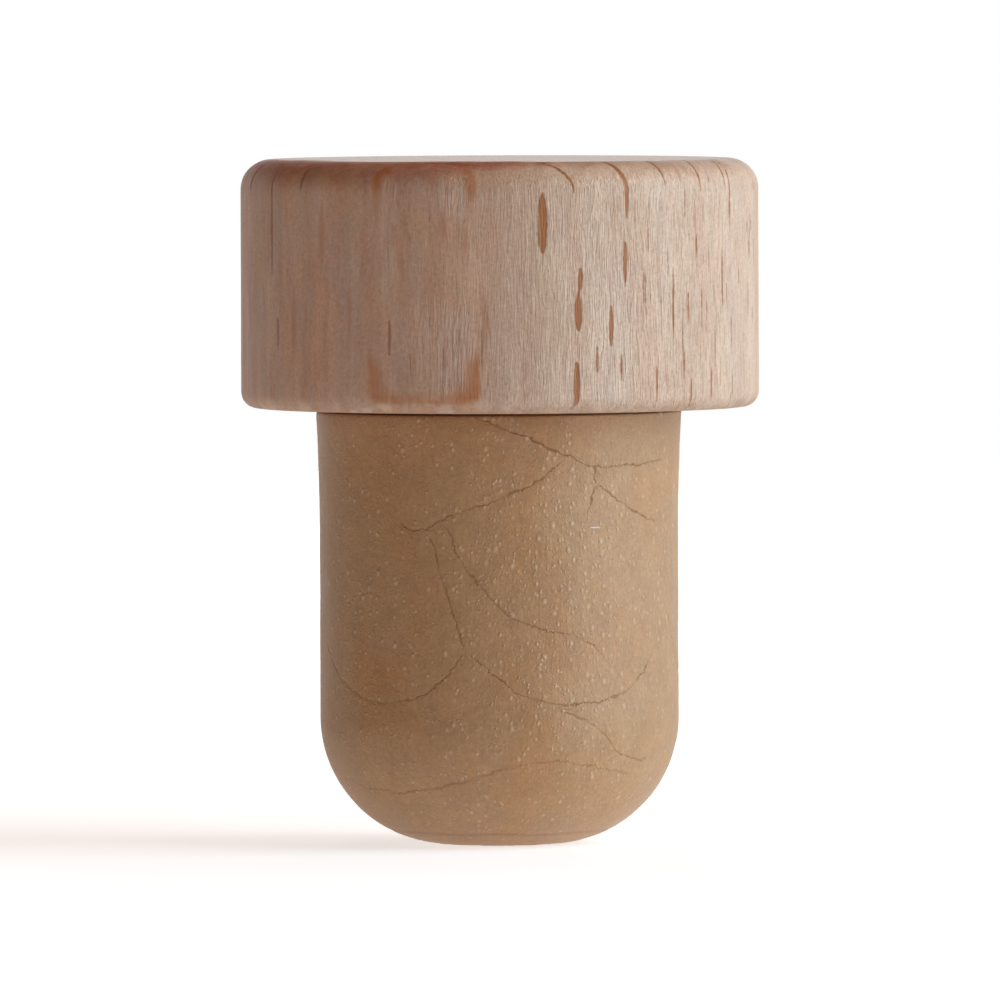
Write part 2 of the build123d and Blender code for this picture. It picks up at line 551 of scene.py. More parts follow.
# Each line: how plain it is, then its places as (azimuth in degrees, height in mm)
FRONT_LINES = [
    (1.0, [(-9, 23.5), (7, 22.35), (22, 21.3), (32, 20.65), (45, 20.65), (57, 20.75), (72, 21.1)]),
    (0.9, [(-35, 17.6), (-27, 17.3), (-22, 17.5), (-15, 18.1), (0, 18.95), (11, 19.75),
           (18, 20.6), (22, 21.2)]),
    (0.8, [(-18, 17.7), (-12, 15.6), (-5, 14.1), (4, 12.6), (14, 11.9), (29, 11.3), (38, 9.9)]),
    (0.9, [(-23, 17.1), (-18, 14.8), (-13, 11.7), (-11, 10.9)]),
    (0.8, [(-11, 10.9), (-16, 9.7), (-25, 8.4), (-36, 8.0), (-47, 8.1), (-59, 8.9),
           (-70, 10.3), (-80, 12.0)]),
    (0.9, [(-11, 10.9), (0, 9.3), (10, 8.2), (24, 7.9), (37, 8.1), (47, 8.8), (55, 9.8), (60, 11.3)]),
    (0.8, [(18, 7.7), (31, 6.8), (41, 5.4), (50, 4.9), (63, 4.8)]),
    (0.6, [(-68, 3.8), (-52, 3.2), (-31, 3.2), (-11, 3.8), (5, 4.6), (20, 4.8), (35, 4.4), (63, 3.7)]),
    (1.0, [(32, 20.65), (33, 19.8), (44, 18.5), (52, 17.9), (61, 17.5)]),
    (0.9, [(33, 19.7), (31, 19.0), (29, 18.0)]),
]


def smooth_curve(places, steps=12):
    """Points on a curve that passes through the places. Between two places p1 and p2 with
    neighbours p0 and p3 it is (2 p1 + (p2 - p0) t + (2 p0 - 5 p1 + 4 p2 - p3) t t
    + (3 p1 - p0 - 3 p2 + p3) t t t) / 2."""
    p = np.array(places, float)
    p = np.vstack([2 * p[0] - p[1], p, 2 * p[-1] - p[-2]])
    t = np.linspace(0, 1, steps, endpoint=False)[:, None]
    p0, p1, p2, p3 = (p[k : len(p) - 3 + k, None] for k in range(4))
    bend = 2 * p0 - 5 * p1 + 4 * p2 - p3
    twist = 3 * p1 - p0 - 3 * p2 + p3
    curve = (2 * p1 + (p2 - p0) * t + bend * t**2 + twist * t**3) / 2
    return np.vstack([curve.reshape(-1, 2), p[-2]])


def back_lines():
    """Lobes like those of the front, for the rest of the wall. Each is a curve that hangs
    between two cusps: its height grows with |t|^2.2 from the lowest place, t from -1 to 1."""
    rng = np.random.default_rng(77)
    lines = []
    for centre in np.arange(98, 275, 27):
        for level in (3.6, 8.5, 14.0, 19.5):
            middle = centre + rng.uniform(-11, 11)
            half = rng.uniform(17, 30)
            foot = level + rng.uniform(-1.4, 1.4)
            rise = rng.uniform(1.2, 3.6)
            t = np.linspace(-1, rng.uniform(0.5, 1), 7)
            tilt = rng.uniform(-0.8, 0.8)
            height = foot + rise * np.abs(t) ** 2.2 + tilt * t
            lines.append((rng.uniform(0.45, 1), list(zip(middle + half * t, height))))
    return lines


FLOW_LINES = FRONT_LINES + back_lines()
print("flow lines:", len(FLOW_LINES))

# %% [markdown]
# ## Distance to the flow lines
# Like the marks in the wood, the lines reach the material as a distance. The wall is rolled
# out flat for it: across is the azimuth times the radius, and up is the height. Each curve
# is a chain of short straight pieces, and each point of the grid near it takes the distance
# to the nearest piece. Curves cut into the mesh with a Boolean would leave a poor surface.

# %% Distance field of the lines
FAR = 9.0  # mm; more than any distance that is kept
FIELD_EDGE = 0.5  # mm; distances are cut off here


def nearest_on(line, spots):
    """For each spot, its distance to a chain of straight pieces, the side that it lies on,
    and how far along the chain its nearest place is, from 0 to 1. On a piece from a with the
    direction d that place is a + t d, with t = (spot - a) . d / (d . d), held to 0 to 1."""
    best, side, along = np.full(len(spots), FAR), np.ones(len(spots)), np.zeros(len(spots))
    for k, (a, b) in enumerate(zip(line[:-1], line[1:])):
        d = b - a
        t = np.clip((spots - a) @ d / (d @ d), 0, 1)
        miss = spots - a - t[:, None] * d
        length = np.hypot(*miss.T)
        closer = length < best
        best = np.where(closer, length, best)
        side = np.where(closer, np.sign(d[0] * miss[:, 1] - d[1] * miss[:, 0]), side)
        along = np.where(closer, (k + t) / (len(line) - 1), along)
    return best, side, along


def seam_field(points, azimuth):
    """For each point, the signed distance in mm to the nearest flow line, and how plain that
    line is there. The sign says on which side of the line the point is. A soft noise of 0.17
    mm is added to the place first, so that the lines waver, and they fade at both ends."""
    waver_x = 0.11 * soft_noise(points * 1.3, 31) + 0.06 * soft_noise(points * 4.1, 32)
    waver_z = 0.11 * soft_noise(points * 1.3, 33) + 0.06 * soft_noise(points * 4.1, 34)
    here = np.degrees(azimuth)
    height = points[..., 2] + waver_z
    gap = np.full(height.shape, FAR)
    show = np.zeros(height.shape)
    for plain, places in FLOW_LINES:
        curve = smooth_curve(places)
        middle = curve[:, 0].mean()
        across = (((here - middle + 180) % 360 - 180) * np.pi / 180) * CORK_RADIUS + waver_x
        line = np.c_[(curve[:, 0] - middle) * np.pi / 180 * CORK_RADIUS, curve[:, 1]]
        near = (
            (across > line[:, 0].min() - 1) & (across < line[:, 0].max() + 1)
            & (height > line[:, 1].min() - 1) & (height < line[:, 1].max() + 1)
        )
        spots = np.stack([across[near], height[near]], axis=-1)
        best, side, along = nearest_on(line, spots)
        ends = ease(along, 0.0, 0.06) * ease(1 - along, 0.0, 0.12)
        strength = plain * ends * ease(best, 0.45, 0.25)
        closer = best < np.abs(gap[near])
        gap[near] = np.where(closer, best * side, gap[near])
        show[near] = np.where(closer, strength, show[near])
    return np.clip(gap, -FIELD_EDGE, FIELD_EDGE), show


print("straight pieces in the first line:", len(smooth_curve(FLOW_LINES[0][1])) - 1)


# %% [markdown]
# ## The moulded cork
# The cork has a rounded foot with a small flat, a straight wall and a slight swelling under the
# head. The tenon on top of it has two ring grooves and is hidden in the head; it is part of the
# same moulding, so it is part of the same skin. It is turned from an outline, like the head,
# with most of its rows on the wall and the foot, where the flow lines and the bubbles are.

# %% Outline of the cork
FOOT_FLAT = 2.8  # radius of the flat, mm
FOOT_ROUNDING = CORK_RADIUS - FOOT_FLAT
FLARE_FROM = 16.5  # height where the wall starts to swell, mm
COLLAR_EDGE = 0.15
TENON_RADIUS, TENON_LENGTH, TENON_CHAMFER = 6.5, 6.5, 0.8
TENON_TOP = HEAD_FOOT + TENON_LENGTH
KEY_WIDTH, KEY_DEPTH = 1.0, 0.4
KEY_HEIGHTS = (HEAD_FOOT + TENON_LENGTH * 2 / 3, HEAD_FOOT + TENON_LENGTH / 3)
CORK_COLUMNS = 452


def key_groove(middle):
    """One ring groove in the tenon: in, down and out again."""
    half, floor = KEY_WIDTH / 2, TENON_RADIUS - KEY_DEPTH
    return np.array([
        (TENON_RADIUS, middle + half), (floor, middle + half),
        (floor, middle - half), (TENON_RADIUS, middle - half),
    ])


# The swelling is an arc that leaves the straight wall without a corner: radius grows by
# step t t over the stretch, t from 0 at its start to 1 under the head
flare_height = np.linspace(HEAD_FOOT - COLLAR_EDGE, FLARE_FROM, 54)
swollen = (flare_height - FLARE_FROM) / (HEAD_FOOT - FLARE_FROM)
flare = np.c_[CORK_RADIUS + FLARE_STEP * swollen**2, flare_height]
collar_inner = CORK_RADIUS + FLARE_STEP - COLLAR_EDGE
cork_outline = outline(
    straight((0, TENON_TOP), (TENON_RADIUS - TENON_CHAMFER, TENON_TOP), 3),
    straight((TENON_RADIUS, TENON_TOP - TENON_CHAMFER), (TENON_RADIUS, TENON_TOP - TENON_CHAMFER), 1),
    key_groove(KEY_HEIGHTS[0]),
    key_groove(KEY_HEIGHTS[1]),
    straight((TENON_RADIUS, HEAD_FOOT), (collar_inner, HEAD_FOOT), 4),
    rounding((collar_inner, HEAD_FOOT - COLLAR_EDGE), COLLAR_EDGE, 90, 0, 4),
    flare,
    straight((CORK_RADIUS, FLARE_FROM), (CORK_RADIUS, FOOT_ROUNDING), 73),
    rounding((FOOT_FLAT, FOOT_ROUNDING), FOOT_ROUNDING, 0, -90, 66),
    straight((FOOT_FLAT, 0), (0, 0), 7),
)
cork_points, cork_azimuth, cork_normals = turn(cork_outline, CORK_COLUMNS)
print("cork rows:", len(cork_outline), "columns:", CORK_COLUMNS)

# %% [markdown]
# ## The skin of the cork
# The flow lines are shallow grooves, the foam leaves the wall a little lumpy, the mould's
# parts leave a faint step just above the flat of the foot, and a crevice runs under the head,
# which the material darkens with painted shade. Each is a mask or a field on the grid. It
# lowers the surface, and it goes to the material as an attribute, so the groove and its dark
# line can't come apart.

# %% Cork
OFF_CENTRE = -0.088  # mm; the cork was glued in this much to the left of the head's axis
STEP_HEIGHT = 0.75  # mm above the flat
NICK = (32.0, 17.35)  # a cut in the wall: azimuth in degrees, height in mm
NICK_HALF = (0.45, 0.08)  # across and up, mm
CREVICE_FROM, CREVICE_TO = 0.26, 0.17  # mm under the head


def step_mask(points):
    """The mould's step: exp(-((z - step height) / 0.06)^2), with the height wavered a little."""
    height = STEP_HEIGHT + 0.06 * soft_noise(points * 0.5, 44)
    return np.exp(-(((points[..., 2] - height) / 0.06) ** 2)) * (radius_of(points) > FOOT_FLAT)


def bubble_mask(points, azimuth):
    """How crowded the opened bubbles are: dense from 5 to 55 degrees between 9 and 20 mm, less
    so over the next 30 degrees and 4 mm, and in patches elsewhere."""
    here, height = np.degrees(azimuth), points[..., 2]
    patches = 0.5 + 0.5 * soft_noise(points * 0.22, 45)
    front = ease(here, -25, 5) * ease(here, 85, 55) * ease(height, 5, 9) * ease(height, 23.5, 20)
    return np.clip(0.15 + 0.35 * patches + 0.55 * front, 0, 1)


def crevice_mask(points):
    """The gap between cork and head, which the material darkens with painted shade: 0 up to
    0.26 mm under the head and 1 from 0.17 mm under it, with a soft step between."""
    return ease(points[..., 2], HEAD_FOOT - CREVICE_FROM, HEAD_FOOT - CREVICE_TO)


def cork_relief(points, azimuth, gap, show):
    """Height of the surface over the moulded size, never above 0: slow lumps, a leathery
    fineness, grooves with the shape exp(-(gap / 0.12)^2) along the flow lines, the mould's step
    round the foot, and the crevice under the head."""
    outside = ease(points[..., 2], HEAD_FOOT, HEAD_FOOT - 0.02)
    lumps = 0.014 * (soft_noise(points * 0.45, 41) - 0.2) + 0.008 * (soft_noise(points * 1.7, 42) - 0.2)
    leather = 0.008 * (1 + bubble_mask(points, azimuth)) * (soft_noise(points * 4.5, 43) - 0.2)
    groove = -0.022 * show * np.exp(-((gap / 0.12) ** 2))
    crevice = -0.1 * crevice_mask(points)
    return outside * np.minimum(lumps + leather + groove - 0.02 * step_mask(points) + crevice, 0)


seam_gap, seam_show = seam_field(cork_points, cork_azimuth)
below_head = ease(cork_points[..., 2], HEAD_FOOT, HEAD_FOOT - 0.4)
seam_show = seam_show * below_head
relief = cork_relief(cork_points, cork_azimuth, seam_gap, seam_show)
cork = skin(
    "moulded_cork",
    cork_points + relief[..., None] * cork_normals + below_head[..., None] * [OFF_CENTRE, 0, 0],
    seam_gap=seam_gap,
    seam_show=seam_show,
    mould_step=step_mask(cork_points),
    crevice=crevice_mask(cork_points),
    bubbles=bubble_mask(cork_points, cork_azimuth),
)
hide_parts("cork_shank")
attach(cork, "root")
print("cork relief, mm:", relief.min().round(3), "to", relief.max().round(3))

# %% [markdown]
# ## Node trees in short
# A material is a tree of nodes. Adding each node and each link by hand takes many lines, so a
# small helper holds the tree and adds a node with its settings and inputs in one call. An input
# may be a plain value or another node's output, which is then linked. The other methods are the
# steps that come back most: sums and products, soft steps, noise, and a colour laid over another.

# %% Helper for node trees
class Bench:
    """A node tree with short ways to add nodes."""

    def __init__(self, tree):
        self.tree = tree

    def put(self, kind, inputs=(), out=0, **settings):
        """Adds a node, sets its settings and its inputs by name or number, and gives one output."""
        node = self.tree.nodes.new(kind)
        for name, value in settings.items():
            setattr(node, name, value)
        for name, value in dict(inputs).items():
            if isinstance(value, bpy.types.NodeSocket):
                self.tree.links.new(value, node.inputs[name])
            else:
                node.inputs[name].default_value = value
        return node.outputs[out] if node.outputs else None

    def place(self, group_name, **inputs):
        """Adds a node group, sets its inputs and gives its output."""
        return self.put("ShaderNodeGroup", inputs, node_tree=bpy.data.node_groups[group_name])

    def maths(self, operation, *values, clamp=False):
        """One step of arithmetic on plain values, such as DIVIDE or SQRT."""
        return self.put("ShaderNodeMath", enumerate(values), operation=operation, use_clamp=clamp)

    def plus(self, total, *others):
        """The sum of all the values."""
        for other in others:
            total = self.maths("ADD", total, other)
        return total

    def times(self, product, *others):
        """The product of all the values."""
        for other in others:
            product = self.maths("MULTIPLY", product, other)
        return product

    def vector(self, operation, *values, out=0):
        """One step of arithmetic on vectors. LENGTH gives its result at the output Value."""
        return self.put("ShaderNodeVectorMath", enumerate(values), out, operation=operation)

    def scaled(self, vector, *factors):
        """The vector or colour times one number, or part by part times three."""
        if len(factors) == 3:
            return self.vector("MULTIPLY", vector, factors)
        inputs = {0: vector, "Scale": factors[0]}
        return self.put("ShaderNodeVectorMath", inputs, operation="SCALE")

    def moved(self, vector, x, y, z):
        """The vector moved, so that a pattern read there comes out another way."""
        return self.vector("ADD", vector, (x, y, z))

    def parts(self, vector):
        """The three parts of a vector."""
        return self.put("ShaderNodeSeparateXYZ", {0: vector}).node.outputs

    def ease(self, value, low, high):
        """0 below low, 1 above high, smooth between."""
        inputs = {"Value": value, "From Min": low, "From Max": high}
        return self.put("ShaderNodeMapRange", inputs, interpolation_type="SMOOTHSTEP")

    def spread(self, value, low, high, start=0.0, end=1.0):
        """A value that goes from start to end, turned into one that goes from low to high."""
        inputs = {"Value": value, "From Min": start, "From Max": end, "To Min": low, "To Max": high}
        return self.put("ShaderNodeMapRange", inputs)

    def noise(self, vector, scale=1.0, detail=2.0, roughness=0.5, out="Fac"):
        """Cloudy noise round 0.5. With a vector in mm, scale is how many bumps fit in 1 mm."""
        inputs = {"Vector": vector, "Scale": scale, "Detail": detail, "Roughness": roughness}
        return self.put("ShaderNodeTexNoise", inputs, out)

    def blend(self, share, first, second, mode="MIX"):
        """Two colours mixed by a share from 0 to 1. A plain colour is given as red, green, blue."""
        sockets = [c if isinstance(c, bpy.types.NodeSocket) else (*c, 1) for c in (first, second)]
        inputs = {0: share, 6: sockets[0], 7: sockets[1]}
        return self.put("ShaderNodeMix", inputs, 2, data_type="RGBA", blend_type=mode)

    def cover(self, tone, color, *shares):
        """The tone with a colour laid over it, as dense as the product of the shares."""
        return self.blend(self.times(*shares), tone, color)

    def tint(self, tone, color, *shares):
        """The tone multiplied by a colour, as much as the product of the shares says."""
        return self.blend(self.times(*shares), tone, color, "MULTIPLY")

    def attribute(self, name):
        """A field that the mesh carries, under the name that skin gave it."""
        return self.put("ShaderNodeAttribute", (), "Fac", attribute_name=name)


print("steps of the bench:", [name for name in vars(Bench) if not name.startswith("_")])

# %% [markdown]
# ## Starting a group and a material
# A group needs its sockets before its nodes can be linked to them. The materials of the three
# pieces start and end alike: with the place of each point in millimetres, and with a bump and
# a shader. Short functions do this, so that the cells after them hold only what is special to
# a finish. The place comes from Object coordinates. They belong to the piece, so a pattern
# stays on it in every view, and it runs through the solid from one face to the next.

# %% Helpers for groups and materials
def new_group(name, inputs, result):
    """A new node group with named inputs, given with their usual values, and one named output.
    Gives its bench, its inputs by name and a call that connects its output."""
    tree = bpy.data.node_groups.new(name, "ShaderNodeTree")
    for title, value in inputs.items():
        kind = "NodeSocketVector" if isinstance(value, tuple) else "NodeSocketFloat"
        tree.interface.new_socket(title, in_out="INPUT", socket_type=kind).default_value = value
    tree.interface.new_socket(result, in_out="OUTPUT", socket_type="NodeSocketFloat")
    source = tree.nodes.new("NodeGroupInput")
    sink = tree.nodes.new("NodeGroupOutput")

    def deliver(socket):
        tree.links.new(socket, sink.inputs[result])

    return Bench(tree), source.outputs, deliver


def empty_tree(owner):
    """A bench with the cleared node tree of a material or a world."""
    owner.use_nodes = True
    owner.node_tree.nodes.clear()
    return Bench(owner.node_tree)


def new_material(name):
    """An empty material, its bench, its place in millimetres and a call that finishes it."""
    material = bpy.data.materials.new(name)
    bench = empty_tree(material)
    place_mm = bench.scaled(bench.put("ShaderNodeTexCoord", out="Object"), 1 / MM)

    def finish(color, height, depth_mm, roughness, specular=0.5):
        bump = bench.put("ShaderNodeBump", {"Height": height, "Distance": depth_mm * MM}, "Normal")
        inputs = {"Base Color": color, "Roughness": roughness, "Normal": bump}
        inputs["Specular IOR Level"] = specular
        shader = bench.put("ShaderNodeBsdfPrincipled", inputs)
        bench.put("ShaderNodeOutputMaterial", {"Surface": shader})
        return material

    return bench, place_mm, finish


# %% [markdown]
# ## Effects that several materials share
# Three effects come back in more than one material, so each is a node group: streaks along the
# axis, which are fibres in wood and drag marks on a moulding; mottling, which is slow change of
# tone; and specks, which are pores in wood and opened bubbles in foam or glue. Each takes its
# sizes in millimetres. A short function per group places it with its values.

# %% Shared node groups
ORIGIN = (0.0, 0.0, 0.0)

b, given, deliver = new_group(
    "Streaks", {"Vector": ORIGIN, "Width": 0.1, "Length": 2.0, "Low": 0.3, "High": 0.7}, "Streak"
)
thin = b.maths("DIVIDE", 1.0, given["Width"])
long = b.maths("DIVIDE", 1.0, given["Length"])
stretch = b.put("ShaderNodeCombineXYZ", {0: thin, 1: thin, 2: long})
streak = b.noise(b.vector("MULTIPLY", given["Vector"], stretch), detail=1.5)
deliver(b.ease(streak, given["Low"], given["High"]))

b, given, deliver = new_group(
    "Mottle", {"Vector": ORIGIN, "Size": 3.0, "Low": 0.4, "High": 0.6}, "Mask"
)
cloud = b.noise(given["Vector"], b.maths("DIVIDE", 1.0, given["Size"]), detail=3.0)
deliver(b.ease(cloud, given["Low"], given["High"]))

b, given, deliver = new_group(
    "Specks", {"Vector": ORIGIN, "Spacing": 0.5, "Size": 0.2, "Share": 0.5}, "Mask"
)
density = b.maths("DIVIDE", 1.0, given["Spacing"])
cells = b.put("ShaderNodeTexVoronoi", {"Vector": given["Vector"], "Scale": density})
pick = b.put("ShaderNodeSeparateColor", {0: cells.node.outputs["Color"]})
chosen = b.maths("LESS_THAN", pick, given["Share"])
reach = b.times(given["Size"], b.spread(pick.node.outputs[1], 0.4, 1.0))
deliver(b.times(b.ease(cells, reach, 0.0), chosen))


def streaks(bench, vector, width, length, low=0.3, high=0.7):
    """Streaks of that width and length. Low and high say how much of the surface they cover."""
    return bench.place("Streaks", Vector=vector, Width=width, Length=length, Low=low, High=high)


def mottle(bench, vector, size, low, high):
    """Clouds of that size. Low and high say how much they cover and how soft they are."""
    return bench.place("Mottle", Vector=vector, Size=size, Low=low, High=high)


def specks(bench, vector, spacing, size, share):
    """Round specks. Their size is a share of their spacing, and share says how many are kept."""
    return bench.place("Specks", Vector=vector, Spacing=spacing, Size=size, Share=share)


print("node groups:", [g.name for g in bpy.data.node_groups])

# %% [markdown]
# ## Beech
# The material is a solid one: each colour depends on where a point is in the tree, so the wall,
# the top edge and the end grain match. An image wrapped round the head would show a seam and
# would not turn over the edge. The distance from the heart gives the rings and the slow change
# from pale to reddish wood; that reddish wood lies on the left, far from the heart, and is partly
# the wood's tone and partly painted shade of that side. The angle round the heart gives the fine
# rays. Streaks give the fibres: pale ones that stand up and dark gaps between them, plain where
# the wall is flat-sawn and faint elsewhere. First come the coordinates, bent a little so that no
# line is ruled.

# %% Beech, its coordinates
PALE_BEECH = (0.805, 0.622, 0.487)
RED_AND_SHADED_BEECH = (0.72, 0.432, 0.285)
RAY_BROWN = (0.43, 0.155, 0.05)
RAY_DARK = (0.31, 0.115, 0.04)
ARC_RADIUS = 22.0  # the angle round the heart is counted in mm along a circle of this radius

b, here, finish = new_material("beech")
slow = b.moved(b.noise(b.scaled(here, 0.5, 0.5, 0.35), out="Color"), -0.5, -0.5, -0.5)
quick = b.moved(b.noise(b.scaled(here, 2.2, 2.2, 0.8), out="Color"), -0.5, -0.5, -0.5)
bend = b.vector("ADD", b.scaled(slow, 0.4, 0.4, 0), b.scaled(quick, 0.07, 0.07, 0))
grain = b.vector("ADD", here, bend)
grain_x, grain_y, grain_z = b.parts(grain)
away_x = b.maths("SUBTRACT", grain_x, float(HEART[0]))
away_y = b.maths("SUBTRACT", grain_y, float(HEART[1]))
distance = b.maths("SQRT", b.plus(b.times(away_x, away_x), b.times(away_y, away_y)))
arc = b.times(b.maths("ARCTAN2", away_y, away_x), ARC_RADIUS)
sheets = b.put("ShaderNodeCombineXYZ", {0: arc, 1: b.maths("DIVIDE", distance, 60.0), 2: grain_z})
year = b.plus(b.maths("DIVIDE", distance, RING_WIDTH), b.noise(b.scaled(here, 0.15, 0.15, 0.04)))
off_line = b.maths("ABSOLUTE", b.maths("SUBTRACT", b.maths("FRACT", year), 0.6))

end = b.attribute("end_grain")
underside = b.ease(grain_z, HEAD_FOOT + 0.05, HEAD_FOOT + 0.01)
end_face = b.maths("MAXIMUM", b.ease(end, 0.6, 1.0), underside)
wet_wood = b.attribute("wet")
# the side far from the heart, redder in part as painted shade of the left
red_and_shaded_side = b.ease(distance, 19.0, 29.0)
rough_wall = b.spread(b.ease(b.attribute("flat_sawn"), 0.0, 0.6), 0.5, 0.7)
rough_wall = b.times(rough_wall, b.spread(red_and_shaded_side, 1.0, 0.3))
rough_wall = b.maths("ADD", rough_wall, b.times(wet_wood, 0.8), clamp=True)
print("nodes for the coordinates:", len(b.tree.nodes))

# %% [markdown]
# The wood's own colour is laid down in thin coats, as a painter would: the base tone, clouds and
# long streaks of slightly other tones, the ring lines, light and dark fibres, and on the two end
# faces the pores and the pale rays that run out from the heart. No single coat is plain, because
# real beech is quiet from afar and busy close by.

# %% Beech, the wood itself
coarse = streaks(b, grain, 0.8, 12.0)
strands = streaks(b, grain, 0.2, 3.0)
fibres = streaks(b, grain, 0.085, 1.4)
red_streaks = streaks(b, b.moved(grain, 5.0, 3.0, 1.0), 0.8, 4.5, 0.46, 0.7)
grey_streaks = streaks(b, b.moved(grain, 13.0, 7.0, 2.0), 2.0, 4.0, 0.44, 0.66)
straws = streaks(b, b.moved(grain, 3.0, 71.0, 5.0), 0.24, 2.2, 0.52, 0.66)
raised = streaks(b, b.moved(grain, 31.0, 17.0, 5.0), 0.09, 0.9, 0.56, 0.68)
gaps = streaks(b, b.moved(grain, 11.0, 47.0, 9.0), 0.10, 0.9, 0.44, 0.30)
fine_rays = b.times(streaks(b, sheets, 0.14, 2.2, 0.59, 0.68), b.ease(distance, 18.5, 15.5))
end_rays = streaks(b, sheets, 0.16, 6.0, 0.5, 0.64)
pores = specks(b, b.scaled(here, 1, 1, 0.2), 0.24, 0.4, 0.75)
clouds = mottle(b, b.scaled(here, 1, 1, 0.3), 3.0, 0.35, 0.65)
blush = mottle(b, b.moved(b.scaled(here, 1, 1, 0.5), 9.0, 4.0, 7.0), 2.2, 0.45, 0.62)
straw_tint = mottle(b, b.moved(b.scaled(here, 1, 1, 0.4), 2.0, 8.0, 3.0), 1.6, 0.5, 0.66)
grit = b.noise(here, 5.5, 3.0, 0.7)
ring = b.times(b.ease(off_line, 0.4, 0.0), b.spread(coarse, 0.3, 1.0))
late = b.ease(off_line, 0.22, 0.0)

# partly painted shade: the wood turns redder and darker towards the shaded left
tone = b.blend(b.ease(distance, 16.5, 25.0), PALE_BEECH, RED_AND_SHADED_BEECH)
tone = b.cover(tone, (0.72, 0.49, 0.33), clouds, 0.35)
tone = b.cover(tone, (0.70, 0.50, 0.43), blush, b.spread(red_and_shaded_side, 0.3, 0.4))
tone = b.cover(tone, (0.68, 0.53, 0.36), straw_tint, b.spread(red_and_shaded_side, 0.15, 0.3))
tone = b.cover(tone, (0.60, 0.41, 0.36), grey_streaks, b.spread(red_and_shaded_side, 0.1, 0.4))
tone = b.cover(tone, (0.62, 0.33, 0.21), red_streaks, b.spread(red_and_shaded_side, 0.12, 0.5))
tone = b.cover(tone, (0.55, 0.31, 0.20), ring, 0.3)
shade = b.times(b.spread(coarse, 0.95, 1.05), b.spread(b.times(strands, rough_wall), 0.95, 1.06))
shade = b.times(shade, b.spread(b.times(fibres, rough_wall), 0.94, 1.08))
tone = b.scaled(tone, b.times(shade, b.spread(grit, 0.62, 1.38)))
tone = b.tint(tone, (0.76, 0.57, 0.46), gaps, rough_wall, 0.68)
tone = b.cover(tone, (0.88, 0.74, 0.60), straws, rough_wall, 0.35)
tone = b.cover(tone, (0.93, 0.81, 0.68), raised, rough_wall, 0.42)
tone = b.cover(tone, RAY_BROWN, fine_rays, 0.35)
tone = b.cover(tone, (0.50, 0.30, 0.20), late, end_face, 0.5)
tone = b.cover(tone, (0.36, 0.21, 0.14), pores, end_face, 0.3)
tone = b.cover(tone, (0.86, 0.70, 0.56), end_rays, end_face, 0.35)
print("nodes, with the wood:", len(b.tree.nodes))

# %% [markdown]
# The large rays, the cracks and the soft streaks have their places on the mesh, as distances in
# attributes. A soft step turns such a distance into a mask, and a little noise added before the
# step makes its edge ragged, which a mask stored on the mesh could not be at that fineness. A ray
# is darker towards its middle.

# %% Beech, rays and cracks
ray_edge = b.plus(b.attribute("ray_depth"), b.spread(b.noise(here, 3.0, 2.0), -0.045, 0.045))
ray_tone = b.blend(b.ease(ray_edge, 0.0, 0.07), RAY_DARK, RAY_BROWN)
ray_tone = b.cover(ray_tone, (0.54, 0.25, 0.11), strands, 0.35)
tone = b.cover(tone, ray_tone, b.ease(ray_edge, -0.035, 0.035), 0.95)
tone = b.cover(tone, (0.54, 0.28, 0.18), b.ease(b.attribute("soft_streak"), -0.12, 0.25), 0.65)
crack = b.plus(b.attribute("crack_depth"), b.spread(fibres, -0.03, 0.03))
tone = b.cover(tone, (0.34, 0.15, 0.10), b.ease(crack, -0.05, 0.05), 0.65)
print("nodes, with the rays and cracks:", len(b.tree.nodes))

# %% [markdown]
# Last come the marks of use: the wood that the wet greyed, the brown frame round it, the worn
# flecks on the lower edge, and the dark red rubbing. With them come painted light that makes the
# upper rounding paler and painted shade that darkens the lower edge. The rubbing and the frame
# multiply or cover what lies below, so the grain still shows through.

# %% Beech, the marks on it
SKIRT_BAND = HEAD_FOOT + 0.9  # mm, where the dusky lower edge begins

tone = b.cover(tone, (0.60, 0.43, 0.37), wet_wood, 0.3)
stain_tone = b.blend(strands, (0.52, 0.19, 0.072), (0.60, 0.255, 0.115))
blotch = b.ease(b.noise(b.scaled(here, 1, 1, 0.5), 1.2, 3.0), 0.35, 0.65)
tone = b.cover(tone, stain_tone, b.attribute("stain"), b.spread(blotch, 0.75, 1.0))
# painted light: the upper rounding, where it turns upwards, is made paler
tone = b.tint(tone, (1.07, 1.03, 0.99), b.ease(end, 0.05, 0.5), b.ease(end, 1.0, 0.85))
tone = b.tint(tone, (0.98, 0.98, 0.99), b.ease(end, 0.85, 1.0))
worn = mottle(b, b.scaled(here, 1, 1, 0.4), 0.9, 0.48, 0.6)
worn = b.times(worn, b.ease(grain_z, SKIRT_BAND, HEAD_FOOT + 0.3), b.ease(end_face, 1.0, 0.85))
# painted shade: the lower edge is darkened
tone = b.tint(tone, (0.83, 0.78, 0.73), b.ease(grain_z, SKIRT_BAND, HEAD_FOOT + 0.2))
tone = b.cover(tone, (0.84, 0.67, 0.54), worn, 0.3)
smear = b.spread(mottle(b, b.scaled(here, 1, 1, 3), 0.9, 0.3, 0.7), 0.75, 1.0)
burnish = b.times(b.attribute("burnish"), smear)
tone = b.tint(tone, (0.64, 0.24, 0.155), burnish)
print("nodes, with the marks:", len(b.tree.nodes))

# %% [markdown]
# The fibres that stand up and the gaps between them also go into the bump, so that they catch
# the light. The turned wall has a soft sheen, and the top edge, polished by hands, has more. A
# sawn end face is dull from above, but at a glancing angle it mirrors the backdrop, as rough
# surfaces do. The Layer Weight node gives that angle.

